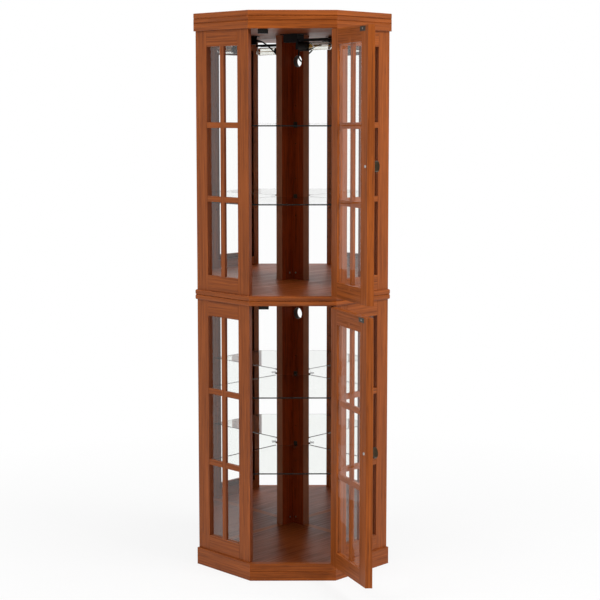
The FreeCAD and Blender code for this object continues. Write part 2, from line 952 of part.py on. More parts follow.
def catch_screw(x, y, ceiling):
    whole = screw(flush_head_radius, flush_head_height, screw_radius, screw_length)
    upward = whole.rotated(Vector(), Vector(1, 0, 0), 90)
    return upward.translated(Vector(x, y, ceiling - catch_height))


def catch_screw_places():
    x = catch_inset - frame_corner[0]
    y = catch_front() + pole_reach + catch_screw_setback
    half = catch_screw_spacing / 2
    return [(x - half, y), (x + half, y)]


def catches():
    x = catch_inset - frame_corner[0]
    front = catch_front()
    body_front = front + pole_reach
    bodies, plates = [], []
    half = catch_width / 2
    reach = half - pole_margin
    for ceiling in unit_ceilings.values():
        body = block(
            (x - half, x + half),
            (body_front, body_front + catch_depth),
            (ceiling - catch_height, ceiling),
        )
        body = chamfered(body, board_ease, lambda edge: not is_level(edge))
        for shift in (-pole_pitch / 2, pole_pitch / 2):
            z = ceiling - catch_height / 2 + shift
            plate = block(
                (x - reach, x + reach),
                (front, body_front + pole_depth),
                (z - pole_thickness / 2, z + pole_thickness / 2),
            )
            plates.append(plate)
            body = body.cut(plate)
        screws = [catch_screw(*place, ceiling) for place in catch_screw_places()]
        bodies.append(body.cut(screws))
    return {"catch_bodies": group(bodies), "catch_plates": group(plates)}


# Lamp ------------------------------------------------------------------------


def in_lamp(shape, z=0):
    """From the lamp's own axis, +X from the rear of the junction box, to its place."""
    turned = shape.rotated(Vector(), Vector(0, 0, 1), lamp_turn)
    return turned.translated(Vector(-lamp_offset, lamp_depth, z))


def lamp_screws():
    whole = screw(flush_head_radius, flush_head_height, screw_radius, screw_length)
    upward = whole.rotated(Vector(), Vector(1, 0, 0), 90)
    inward = plate_end - plate_screw_inset
    places = [Vector(-inward, 0, 0), Vector(junction_length + inward, 0, 0)]
    under_plate = upper_ceiling - plate_thickness
    return [in_lamp(upward.translated(place), under_plate) for place in places]


def lamp_bracket(bulb_tip):
    """The junction box on its ceiling plate, the lampholder's arm and the heat shield."""
    half_box, half_shield = junction_width / 2, shield_width / 2
    box_foot = upper_ceiling - junction_height
    plate = block(
        (-plate_end, junction_length + plate_end),
        (-half_box, half_box),
        (upper_ceiling - plate_thickness, upper_ceiling),
    )
    box = block((0, junction_length), (-half_box, half_box), (box_foot, upper_ceiling))
    arm = block(
        (junction_length - arm_length, junction_length),
        (-half_shield, half_shield),
        (lamp_height - arm_drop, upper_ceiling),
    )
    shield_foot = lamp_height + holder_radius + shield_gap
    shield_run = (junction_length - arm_length, bulb_tip - shield_end)
    shield = block(
        shield_run, (-half_shield, half_shield), (shield_foot, shield_foot + shield_lip)
    )
    hollow = block(
        (junction_length, bulb_tip),
        (-half_shield + shield_thickness, half_shield - shield_thickness),
        (shield_foot - cut_over, shield_foot + shield_lip - shield_thickness),
    )
    return in_lamp(joined(plate, box, arm, shield.cut(hollow)))


def bulb_glass(start):
    """A clear tube with a rounded end and a shoulder down to the cap."""

    def profile(radius, first, tip, neck):
        points = [Vector(first, neck, 0), Vector(first + bulb_shoulder, radius, 0)]
        straight = Vector(tip - radius, radius, 0)
        slant = math.sqrt(0.5)
        bend = Vector(tip - radius + radius * slant, radius * slant, 0)
        edges = [
            Part.makeLine(Vector(first, 0, 0), points[0]),
            Part.makeLine(points[0], points[1]),
            Part.makeLine(points[1], straight),
            Part.Arc(straight, bend, Vector(tip, 0, 0)).toShape(),
            Part.makeLine(Vector(tip, 0, 0), Vector(first, 0, 0)),
        ]
        return Part.Face(Part.Wire(edges)).revolve(Vector(), Vector(1, 0, 0), 360)

    outer = profile(bulb_radius, start, start + bulb_length, cap_radius)
    inner = profile(
        bulb_radius - bulb_wall,
        start + bulb_wall,
        start + bulb_length - bulb_wall,
        cap_radius - bulb_wall,
    )
    mouth_start, mouth_length = (start - cut_over, 0, 0), bulb_wall + 2 * cut_over
    mouth = rod(mouth_start, (1, 0, 0), cap_radius - bulb_wall, mouth_length)
    return outer.cut([inner, mouth])


def filament(start):
    """A long straight filament between two support wires on a short stem."""
    first, last = start + filament_inset, start + bulb_length - filament_inset
    stem = rod((start, 0, 0), (1, 0, 0), stem_radius, stem_length)
    lower = rod((start, 0, -support_spread), (1, 0, 0), support_radius, last - start)
    upper = rod((start, 0, support_spread), (1, 0, 0), support_radius, first - start)
    coil_start = first - coil_lead
    coil = rod((coil_start, 0, 0), (1, 0, 0), filament_radius, last - coil_start)
    at_tip = (last - link_inset, 0, -support_spread)
    link = rod(at_tip, (0, 0, 1), link_radius, support_spread)
    at_hook = (first - link_inset, 0, -filament_radius / 2)
    hook = rod(at_hook, (0, 0, 1), link_radius, support_spread + filament_radius / 2)
    return joined(stem, lower, upper, coil, link, hook)


def lamp():
    collar_start = junction_length + holder_length
    mouth = collar_start + collar_length
    body = rod((junction_length, 0, 0), (1, 0, 0), holder_radius, holder_length)
    collar = rod((collar_start, 0, 0), (1, 0, 0), collar_radius, collar_length)
    cap_start = mouth + cap_show - cap_length
    bore_radius = cap_radius + cap_clearance
    bore = rod((cap_start, 0, 0), (1, 0, 0), bore_radius, cap_length)
    cap = rod((cap_start, 0, 0), (1, 0, 0), cap_radius, cap_length)
    bulb_start = mouth + cap_show
    return {
        "lamp_bracket": lamp_bracket(bulb_start + bulb_length).cut(lamp_screws()),
        "lampholder": in_lamp(joined(body, collar).cut(bore), lamp_height),
        "bulb_cap": in_lamp(cap, lamp_height),
        "bulb_glass": in_lamp(bulb_glass(bulb_start), lamp_height),
        "bulb_filament": in_lamp(filament(bulb_start), lamp_height),
    }


def cabinet_screws():
    """Hinge, catch and lamp screws, and those near the feet of the post."""
    screws = lamp_screws()
    for unit, floor in unit_floors.items():
        screws += [hinge_screw(z, -1) for z in hinge_screw_heights(unit)]
        screws += [post_screw(floor), mirrored(post_screw(floor))]
        for place in catch_screw_places():
            screws.append(catch_screw(*place, unit_ceilings[unit]))
    return screws


# Cord, switch and plug -------------------------------------------------------


def rounded_path(points):
    """Straight runs joined by tangent arcs, each as large as its two runs allow."""
    edges = []
    start = points[0]
    for before, corner, after in zip(points, points[1:], points[2:]):
        arriving = (corner - before).normalize()
        leaving = (after - corner).normalize()
        turn = arriving.getAngle(leaving)
        shorter = min((corner - before).Length, (after - corner).Length)
        setback = bend_share * shorter
        radius = setback / math.tan(turn / 2)
        print(f"cord bend: {math.degrees(turn):5.1f} degrees, radius {radius:8.1f} mm")
        arc_start, arc_end = corner - arriving * setback, corner + leaving * setback
        inward = (leaving - arriving).normalize()
        centre = corner + inward * math.hypot(radius, setback)
        arc_middle = centre - inward * radius
        edges.append(Part.LineSegment(start, arc_start).toShape())
        edges.append(Part.Arc(arc_start, arc_middle, arc_end).toShape())
        start = arc_end
    edges.append(Part.LineSegment(start, points[-1]).toShape())
    return Part.Wire(edges)


def cord_points():
    return [Vector(*point) for point in cord_route]


def cord_tube():
    points = cord_points()
    path = rounded_path(points)
    circle = Part.Circle(points[0], points[1] - points[0], cord_diameter / 2)
    tube = path.makePipeShell([Part.Wire(circle.toShape())], True, False)
    expected = math.pi * cord_diameter**2 / 4 * path.Length
    print(f"cord: length {path.Length:.1f} mm, volume {tube.Volume / expected:.4f} of its section")
    return tube


def along_cord(shape, start, toward, facing):
    """Moves a shape so that its zero is at start, +Z runs toward, and -Y faces facing."""
    down = (toward - start).normalize()
    side = down.cross(facing).normalize()
    turn = Rotation(side, down.cross(side), down, "ZXY")
    placed = shape.copy()
    placed.Placement = FreeCAD.Placement(start, turn).multiply(shape.Placement)
    return placed


def away_from_wall():
    return Vector(math.cos(half_corner), math.sin(half_corner), 0)


def switch_pieces():
    """An oval in-line switch along +Z, with its rocker on the -Y side."""
    half_l, half_w, half_d = switch_length / 2, switch_width / 2, switch_depth / 2
    body = block((-half_w, half_w), (-half_d, half_d), (-half_l, half_l))
    body = body.makeFillet(
        switch_corner, [edge for edge in body.Edges if edge.BoundBox.YLength > tolerance]
    )
    body = chamfered(body, board_ease, lambda edge: edge.BoundBox.YLength < tolerance)
    bore_radius = cord_diameter / 2 + switch_cord_clearance
    cord_depth = half_d - rocker_well
    bore_start, bore_length = (0, 0, -half_l - cut_over), switch_length + 2 * cut_over
    bore = rod(bore_start, (0, 0, 1), bore_radius, bore_length)
    shift = Vector(0, (cord_depth - half_d) / 2 + rocker_well / 2, 0)
    half_rw, half_rl = rocker_width / 2, rocker_length / 2
    well = block(
        (-half_rw - rocker_gap, half_rw + rocker_gap),
        (-half_d - cut_over, -half_d + rocker_well),
        (-half_rl - rocker_gap, half_rl + rocker_gap),
    )
    axle_length = rocker_width + 2 * rocker_axle_end
    axle_start = (-axle_length / 2, -half_d + rocker_axle_depth, 0)
    axle = rod(axle_start, (1, 0, 0), rocker_axle_radius, axle_length)
    axle_hole = rod(
        axle_start, (1, 0, 0), rocker_axle_radius + rocker_axle_clearance, axle_length
    )
    rocker = rocker_solid(half_d)
    pivot = Vector(0, axle_start[1], 0)
    rocker = joined(rocker, axle).rotated(pivot, Vector(1, 0, 0), rocker_tilt)
    return body.cut([bore.translated(shift), well, axle_hole]), rocker, shift


def rocker_solid(half_d):
    """A shallow V that tilts about the middle of its length."""
    half_rl = rocker_length / 2
    face = -half_d - rocker_rise
    edge = -half_d + rocker_edge_depth
    side = [
        Vector(0, face, -half_rl),
        Vector(0, face + rocker_dish, 0),
        Vector(0, face, half_rl),
        Vector(0, edge, half_rl),
        Vector(0, -half_d + rocker_depth, 0),
        Vector(0, edge, -half_rl),
    ]
    section = Part.Face(Part.makePolygon(side + side[:1]))
    rocker = section.extrude(Vector(rocker_width, 0, 0))
    return rocker.translated(Vector(-rocker_width / 2, 0, 0))


def plug_pieces():
    """A moulded plug along +Z from the end of the cord, and its two flat blades."""
    neck = Part.makeCone(plug_tip_radius, plug_neck_radius, plug_neck_length)
    half_w, half_d = plug_width / 2, plug_depth / 2
    body = block((-half_w, half_w), (-half_d, half_d), (plug_neck_length, plug_length))
    body = body.makeFillet(plug_corner, [edge for edge in body.Edges if not is_level(edge)])
    body = chamfered(body, board_ease, is_level)
    blades = []
    for x in (-blade_spacing / 2, blade_spacing / 2):
        blades.append(
            block(
                (x - blade_thickness / 2, x + blade_thickness / 2),
                (-blade_width / 2, blade_width / 2),
                (plug_length, plug_length + blade_length),
            )
        )
    return joined(neck, body), group(blades)


def cord():
    points = cord_points()
    start, end = points[switch_run_index], points[switch_run_index + 1]
    body, rocker, shift = switch_pieces()
    facing = away_from_wall()
    middle_point = (start + end) / 2
    lifted = middle_point + facing * shift.y
    ahead = lifted + (end - start)
    plug, blades = plug_pieces()
    last, tip = points[-1], points[-1] * 2 - points[-2]
    return {
        "power_cord": cord_tube(),
        "switch_body": along_cord(body, lifted, ahead, facing),
        "switch_rocker": along_cord(rocker, lifted, ahead, facing),
        "mains_plug": along_cord(plug, last, tip, facing),
        "plug_blades": along_cord(blades, last, tip, facing),
    }


def build():
    nodes = {}
    for part in (crown, plinth, windows, rear_post, shelves, window_hinges, catches):
        nodes.update(part())
    for unit in unit_floors:
        nodes.update(door(unit))
    nodes.update(lamp())
    nodes.update(cord())
    screws = cabinet_screws()
    for panel in ("ceiling_panel", "lower_top_panel"):
        nodes[panel] = nodes[panel].cut(screws)
    nodes["cabinet_screws"] = group(screws)
    return nodes


os.makedirs("parts", exist_ok=True)
for name, shape in build().items():
    shape.exportStep(f"parts/{name}.step")
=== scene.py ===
# Corner curio cabinet: camera, light, cord and finishes over the CAD frame.
# Metres, Z up, the front of the cabinet faces -Y.
import math

import bmesh
import bpy
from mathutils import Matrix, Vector


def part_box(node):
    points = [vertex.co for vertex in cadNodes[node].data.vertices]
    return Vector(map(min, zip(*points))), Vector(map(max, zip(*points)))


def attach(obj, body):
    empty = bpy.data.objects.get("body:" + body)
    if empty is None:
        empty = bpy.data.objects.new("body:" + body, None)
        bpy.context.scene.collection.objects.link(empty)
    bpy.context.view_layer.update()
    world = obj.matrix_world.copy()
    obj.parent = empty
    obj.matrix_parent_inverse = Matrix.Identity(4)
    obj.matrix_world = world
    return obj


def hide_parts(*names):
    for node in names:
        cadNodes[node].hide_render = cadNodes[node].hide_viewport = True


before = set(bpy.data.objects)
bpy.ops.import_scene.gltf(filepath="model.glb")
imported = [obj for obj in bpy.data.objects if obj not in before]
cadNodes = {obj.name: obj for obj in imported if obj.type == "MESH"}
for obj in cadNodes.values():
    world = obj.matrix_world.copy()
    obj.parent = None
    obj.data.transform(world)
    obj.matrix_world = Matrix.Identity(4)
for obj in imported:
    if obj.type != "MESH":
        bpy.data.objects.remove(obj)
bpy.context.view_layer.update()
print("frame loaded:", len(cadNodes), "nodes")


def linear(hexColour):
    parts = [int(hexColour[i : i + 2], 16) / 255 for i in (1, 3, 5)]
    knee, slope = 0.04045, 12.92  # below the knee the sRGB curve is a straight line
    return (*[c / slope if c <= knee else ((c + 0.055) / 1.055) ** 2.4 for c in parts], 1)


def addNode(tree, kind, inputs=None, **settings):
    # A socket among the inputs is linked, anything else is the input's own value.
    # A Mix node takes 2, 3 and gives 0 for numbers, 4, 5 and 1 for vectors, 6, 7 and 2
    # for colours.
    node = tree.nodes.new(kind)
    for name, value in settings.items():
        setattr(node, name, value)
    for key, value in (inputs or {}).items():
        if isinstance(value, bpy.types.NodeSocket):
            tree.links.new(value, node.inputs[key])
        else:
            node.inputs[key].default_value = value
    return node


def newMaterial(name):
    material = bpy.data.materials.new(name)
    material.use_nodes = True
    material.node_tree.nodes.clear()
    return material, material.node_tree


def dress(material, *names):
    for name in names:
        mesh = cadNodes[name].data
        mesh.materials.clear()
        mesh.materials.append(material)


# How far faces look up or down, from 0 on an upright face to 1 on a level one.
panelEdges = (-1, 0.95)
# The round holes' walls get painted shade: they are drawn nearly black.
shadedHoleWalls = (0.02, 0.98)  # of an upright board's faces, only round holes' walls are in it


def dressFaces(material, lean, *names):
    # the faces in a range of lean get a material of their own
    least, most = lean
    for name in names:
        mesh = cadNodes[name].data
        mesh.materials.append(material)
        for face in mesh.polygons:
            if least < abs(face.normal.z) < most:
                face.material_index = len(mesh.materials) - 1


def degrees(*angles):
    return tuple(math.radians(angle) for angle in angles)


camera = {
    "place": (0, -4.467, 1.495),
    "tilt": 83.888,  # 90 is level
    "roll": -0.349,
    "lens": 86.29,
    "sensor": 36,
    "shift": (-0.0024, -0.060),
    "near": 0.05,
    "far": 60,
}


def addCamera():
    data = bpy.data.cameras.new("camera")
    data.lens, data.sensor_width = camera["lens"], camera["sensor"]
    data.shift_x, data.shift_y = camera["shift"]
    data.clip_start, data.clip_end = camera["near"], camera["far"]
    viewer = bpy.data.objects.new("camera", data)
    viewer.location = camera["place"]
    viewer.rotation_euler = degrees(camera["tilt"], 0, camera["roll"])
    bpy.context.scene.collection.objects.link(viewer)
    bpy.context.scene.camera = viewer


addCamera()

# The lamp's cord goes out through the hole in the post and hangs behind it.
cordLook = {
    "length": 1.70,
    "diameter": 0.005,
    "resolution": 12,
    "roundness": 4,
    "route": [  # the same points as the CAD tube's
        (-0.00264, 0.35078, 1.729),
        (0.01278, 0.36917, 1.729),
        (0.0205, 0.388, 1.717),
        (0.022, 0.407, 1.7),
        (0.02, 0.424, 1.683),
        (0.0205, 0.441, 1.668),
        (0.0325, 0.455, 1.6555),
        (0.0485, 0.465, 1.6465),
        (0.0645, 0.4685, 1.632),
        (0.0765, 0.467, 1.611),
        (0.082, 0.4645, 1.582),
        (0.0837, 0.46258, 1.53),
        (0.08386, 0.46221, 1.462),
        (0.08377, 0.46191, 1.392),
        (0.08353, 0.46157, 1.32),
        (0.08314, 0.46118, 1.247),
        (0.08267, 0.4607, 1.175),
        (0.0821, 0.46013, 1.103),
        (0.08143, 0.45947, 1.031),
        (0.08067, 0.4587, 0.958),
        (0.07982, 0.45785, 0.886),
        (0.07886, 0.4569, 0.813),
        (0.07783, 0.45586, 0.741),
        (0.0767, 0.45473, 0.669),
        (0.07548, 0.45351, 0.597),
        (0.07414, 0.45218, 0.524),
        (0.07274, 0.45077, 0.452),
        (0.07124, 0.44927, 0.38),
        (0.06964, 0.44768, 0.308),
        (0.06796, 0.44599, 0.236),
        (0.06646, 0.44449, 0.175),
        (0.06491, 0.44294, 0.119),
    ],
}


def addCord():
    curve = bpy.data.curves.new("lampCord", "CURVE")
    curve.dimensions = "3D"
    spline = curve.splines.new("NURBS")
    spline.points.add(len(cordLook["route"]) - 1)
    for point, place in zip(spline.points, cordLook["route"]):
        point.co = (*place, 1)
    spline.order_u = 3
    spline.use_endpoint_u = True
    spline.resolution_u = cordLook["resolution"]
    cord = bpy.data.objects.new("lampCord", curve)
    bpy.context.scene.collection.objects.link(cord)
    return cord


def cordPath(cord):
    # the line of the cord itself, read before it gets its thickness
    bpy.context.view_layer.update()
    graph = bpy.context.evaluated_depsgraph_get()
    mesh = bpy.data.meshes.new_from_object(cord.evaluated_get(graph))
    points = [vertex.co.copy() for vertex in mesh.vertices]
    bpy.data.meshes.remove(mesh)
    return points


cord = addCord()
path = cordPath(cord)
cord.data.bevel_depth = cordLook["diameter"] / 2
cord.data.bevel_resolution = cordLook["roundness"]
cord.data.use_fill_caps = True
print("cord points:", len(path))

# Ribbed sleeves that keep the cord from kinking at the lamp, the switch and the plug.
sleeveLook = {
    "ribs": 5,
    "ribHeight": 0.0005,
    "steps": 40,
    "sides": 24,
    "bore": 0.0026,
    "lampSleeve": {"length": 0.022, "thick": 0.0046, "thin": 0.0031},
    "switchSleeve": {"length": 0.016, "thick": 0.0050, "thin": 0.0031},
    "plugSleeve": {"length": 0.024, "thick": 0.0037, "thin": 0.0030},
}


def pointAlong(points, distance):
    # place and direction at a distance along the cord
    for first, second in zip(points, points[1:]):
        run = (second - first).length
        if distance <= run:
            return first.lerp(second, distance / run), (second - first).normalized()
        distance -= run
    return points[-1].copy(), (points[-1] - points[-2]).normalized()


def distanceAt(points, height):
    # how far along the cord it last passes this height on its way down
    total = 0
    for first, second in zip(points, points[1:]):
        if first.z >= height > second.z:
            return total + (second - first).length * (first.z - height) / (first.z - second.z)
        total += (second - first).length
    return total


def addSleeve(name, start, length, thick, thin):
    # a closed ribbed tube from its thick end; a negative length runs towards the lamp
    mesh = bpy.data.meshes.new(name)
    bm = bmesh.new()
    steps, sides = sleeveLook["steps"], sleeveLook["sides"]
    profile = []  # distances along the cord and radii, up the outside and down the bore
    for i in range(steps + 1):
        share = i / steps
        rib = math.sin(share * sleeveLook["ribs"] * math.tau) * sleeveLook["ribHeight"]
        radius = thick + (thin - thick) * share + rib * (0 < i < steps)  # plain at both ends
        profile.append((start + length * share, radius))
    profile.append((start + length, sleeveLook["bore"]))
    profile.append((start, sleeveLook["bore"]))
    rings = []
    for distance, radius in profile:
        middle, ahead = pointAlong(path, distance)
        side = ahead.orthogonal().normalized()
        up = ahead.cross(side)
        ring = []
        for k in range(sides):
            angle = math.tau * k / sides
            offset = side * math.cos(angle) + up * math.sin(angle)
            ring.append(bm.verts.new(middle + offset * radius))
        rings.append(ring)
    for first, second in zip(rings, rings[1:] + rings[:1]):
        for k in range(sides):
            after = (k + 1) % sides
            bm.faces.new((first[k], first[after], second[after], second[k]))
    bmesh.ops.recalc_face_normals(bm, faces=bm.faces)
    for face in bm.faces:
        face.smooth = True
    bm.to_mesh(mesh)
    bm.free()
    sleeve = bpy.data.objects.new(name, mesh)
    bpy.context.scene.collection.objects.link(sleeve)
    return sleeve


def addSleeves():
    switchFoot, switchTop = [corner.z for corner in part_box("switch_body")]
    end = distanceAt(path, path[-1].z)
    # each sleeve's kind, where its thick end is, and which way it runs
    places = {
        "lampSleeve": ("lampSleeve", 0, 1),
        "switchSleeveAbove": ("switchSleeve", distanceAt(path, switchTop), -1),
        "switchSleeveBelow": ("switchSleeve", distanceAt(path, switchFoot), 1),
        "plugSleeve": ("plugSleeve", end, -1),
    }
    made = []
    for name, (kind, start, way) in places.items():
        size = sleeveLook[kind]
        made.append(addSleeve(name, start, size["length"] * way, size["thick"], size["thin"]))
    return made


sleeves = addSleeves()
print("sleeves:", len(sleeves))

# Cherry-grain paper film under a satin lacquer: fine straight figure, soft broad sheen.
cherry = {
    "light": "#a8571f",
    "dark": "#733711",
    "pore": "#4c210a",
    "band": (0.500, 0.018),  # length along the grain and width of the broad figure
    "streak": (0.260, 0.0045),
    "pores": (0.070, 0.0022),  # real pores are 0.3 mm wide: drawn coarser, so that they show
    "roughness": (0.36, 0.50),
    "specular": 0.15,
    "relief": 0.00006,
}
# The floors and ceilings have a harder lacquer, which mirrors more at a low angle.
cherryPanel = {**cherry, "light": "#94461a", "dark": "#6e3210", "streak": (0.200, 0.0080),
               "specular": 0.22, "relief": 0.00004}
# The lowest floor is drawn darker than the other panels: painted shade.
cherryShadedBase = {**cherryPanel, "light": "#7a3814", "dark": "#5a280c"}
# The slanting sides mirror more of the bright room than the front does.
cherrySide = {**cherry, "specular": 0.22}

# Dark walnut film of the corner post.
walnut = {
    "light": "#87320e",
    "dark": "#5c2008",
    "pore": "#200902",
    "band": (0.500, 0.024),
    "streak": (0.220, 0.0060),
    "pores": (0.060, 0.0028),
    "roughness": (0.38, 0.52),
    "specular": 0.06,
    "relief": 0.00006,
}
# The drilled board inside a cable hole, drawn nearly black: painted shade in the hole.
walnutShadedHole = {**walnut, "light": "#33160a", "dark": "#231007"}
# The window frames' cut edges are drawn darker: painted shade in the reveals.
shadedWindowEdge = "#74381a"  # cut edges of the window frames
paleEdge = "#875239"  # cut edges of the post boards

# How the film's patterns come from noise: its detail, and the values of the noise at
# which a pattern begins and is full.
filmNoise = {
    "band": (2, 0.30, 0.70),
    "streak": (3, 0.34, 0.66),
    "pores": (2, 0.55, 0.70),
    "roughness": 0.55,
    "streakShare": 0.70,  # the rest of the figure is the broad band
    "poreShare": 0.60,  # how much of the pores' colour shows
    "reliefStrength": 0.6,
}

uprightTurn = degrees(0, -90, 0)
halfShift = 0.37  # along the boards, so that the two halves differ in figure
flatLean = 0.7  # a panel's face that looks more up or down than this is its flat side
cutFacing = 1.2  # a face straight along the cut side has 1.41

# How the grain runs in each group: origin and turn of the board's own axes, and,
# where upright and level boards share a node, the middle of the group along X and
# the distances from it between which the boards lie level. The left half of the
# cabinet is laid out as the mirror image of the right half.
windowPlace = {"origin": (0.13569, 0.001, 0), "turn": 45, "mirrored": True}
doorPlace = {"origin": (0.13703, -0.00223, 0), "turn": 113}
postPlace = {"turn": 45, "mirrored": True, "upright": True}
runs = {
    "front": {"turn": 0},
    "sides": {"turn": 45, "mirrored": True},
    "backs": {"turn": 135, "mirrored": True},
    "panels": {"turn": 45, "banded": True},
    "posts": {**postPlace, "cutEdge": paleEdge, "cutSide": (1, -1)},
    "holes": postPlace,
    # the window frames' cut edges carry painted shade
    "windows": {**windowPlace, "level": (0.12343, -0.0713, 0.0713),
                "cutEdge": shadedWindowEdge, "cutSide": (-1, -1)},
    "windowBars": {**windowPlace, "level": (0.12343, 0.0092, 0.0713),
                   "cutEdge": shadedWindowEdge, "cutSide": (-1, -1)},
    "doors": {**doorPlace, "level": (-0.13703, -0.0835, 0.0835)},
    "doorBars": {**doorPlace, "level": (-0.13703, 0.0092, 0.0835)},
}


def mirroredAcross(tree, vector, side):
    # the X of a place or normal counted outwards from the middle of the cabinet
    parts = addNode(tree, "ShaderNodeSeparateXYZ", {0: vector})
    outward = addNode(
        tree, "ShaderNodeMath", {0: parts.outputs["X"], 1: side}, operation="MULTIPLY"
    )
    return outward.outputs[0], parts


def sideOf(tree, place):
    # -1 in the left half of the cabinet and 1 in the right half
    parts = addNode(tree, "ShaderNodeSeparateXYZ", {0: place})
    side = addNode(tree, "ShaderNodeMath", {0: parts.outputs["X"]}, operation="SIGN")
    return side.outputs[0]


def bandedPlace(tree, flatPlace, source):
    # the grain of a panel's edge band runs along the edge, whichever way it faces
    level = addNode(
        tree,
        "ShaderNodeVectorMath",
        {0: source.outputs["Normal"], 1: (1, 1, 0)},
        operation="MULTIPLY",
    )
    outward = addNode(
        tree, "ShaderNodeVectorMath", {0: level.outputs[0]}, operation="NORMALIZE"
    )
    crossed = addNode(
        tree,
        "ShaderNodeVectorMath",
        {0: outward.outputs[0], 1: source.outputs["Object"]},
        operation="CROSS_PRODUCT",
    )
    along = addNode(tree, "ShaderNodeSeparateXYZ", {0: crossed.outputs[0]}).outputs["Z"]
    height = addNode(
        tree, "ShaderNodeSeparateXYZ", {0: source.outputs["Object"]}
    ).outputs["Z"]
    band = addNode(tree, "ShaderNodeCombineXYZ", {"X": along, "Y": height})
    up = addNode(
        tree, "ShaderNodeSeparateXYZ", {0: source.outputs["Normal"]}
    ).outputs["Z"]
    lean = addNode(tree, "ShaderNodeMath", {0: up}, operation="ABSOLUTE")
    isFlat = addNode(
        tree, "ShaderNodeMath", {0: lean.outputs[0], 1: flatLean}, operation="GREATER_THAN"
    )
    mix = addNode(
        tree,
        "ShaderNodeMix",
        {0: isFlat.outputs[0], 4: band.outputs[0], 5: flatPlace},
        data_type="VECTOR",
    )
    return mix.outputs[1]


def grainPlace(tree, run):
    # X along the grain, Y and Z across it, in metres
    source = addNode(tree, "ShaderNodeTexCoord")
    place = source.outputs["Object"]
    if run.get("mirrored"):
        side = sideOf(tree, place)
        outward, parts = mirroredAcross(tree, place, side)
        shifted = addNode(
            tree,
            "ShaderNodeMath",
            {0: side, 1: halfShift, 2: parts.outputs["Z"]},
            operation="MULTIPLY_ADD",
        )
        place = addNode(
            tree,
            "ShaderNodeCombineXYZ",
            {"X": outward, "Y": parts.outputs["Y"], "Z": shifted.outputs[0]},
        ).outputs[0]
    level = addNode(
        tree,
        "ShaderNodeMapping",
        {"Vector": place, "Location": run.get("origin", (0, 0, 0)),
         "Rotation": degrees(0, 0, run["turn"])},
        vector_type="TEXTURE",
    ).outputs[0]
    if run.get("banded"):
        return bandedPlace(tree, level, source)
    upright = addNode(  # the same for boards that stand on end
        tree,
        "ShaderNodeMapping",
        {"Vector": level, "Rotation": uprightTurn},
        vector_type="TEXTURE",
    ).outputs[0]
    if "level" not in run:
        return upright if run.get("upright") else level
    along = addNode(tree, "ShaderNodeSeparateXYZ", {0: level}).outputs["X"]
    middle, near, far = run["level"]
    offset = addNode(tree, "ShaderNodeMath", {0: along, 1: middle}, operation="SUBTRACT")
    away = addNode(tree, "ShaderNodeMath", {0: offset.outputs[0]}, operation="ABSOLUTE")
    inside = addNode(
        tree,
        "ShaderNodeMath",
        {0: away.outputs[0], 1: (near + far) / 2, 2: (far - near) / 2},
        operation="COMPARE",
    )
    mix = addNode(
        tree, "ShaderNodeMix", {0: inside.outputs[0], 4: upright, 5: level}, data_type="VECTOR"
    )
    return mix.outputs[1]


def cutEdgeShare(tree, run):
    # 1 on the faces whose normal points to the run's cut side, 0 elsewhere
    source = addNode(tree, "ShaderNodeTexCoord")
    side = sideOf(tree, source.outputs["Object"])
    outward, parts = mirroredAcross(tree, source.outputs["Normal"], side)
    x, y = run["cutSide"]
    first = addNode(tree, "ShaderNodeMath", {0: outward, 1: x}, operation="MULTIPLY")
    total = addNode(
        tree,
        "ShaderNodeMath",
        {0: parts.outputs["Y"], 1: y, 2: first.outputs[0]},
        operation="MULTIPLY_ADD",
    )
    return addNode(
        tree, "ShaderNodeMath", {0: total.outputs[0], 1: cutFacing}, operation="GREATER_THAN"
    ).outputs[0]


def grain(tree, place, look, pattern):
    # noise stretched to the pattern's length and width
    long, wide = look[pattern]
    detail, begins, full = filmNoise[pattern]
    stretched = addNode(
        tree,
        "ShaderNodeMapping",
        {"Vector": place, "Scale": (long, wide, wide)},
        vector_type="TEXTURE",
    )
    noise = addNode(
        tree,
        "ShaderNodeTexNoise",
        {"Vector": stretched.outputs[0], "Scale": 1, "Detail": detail,
         "Roughness": filmNoise["roughness"]},
    )
    return addNode(
        tree,
        "ShaderNodeMapRange",
        {"Value": noise.outputs[0], "From Min": begins, "From Max": full},
    ).outputs[0]


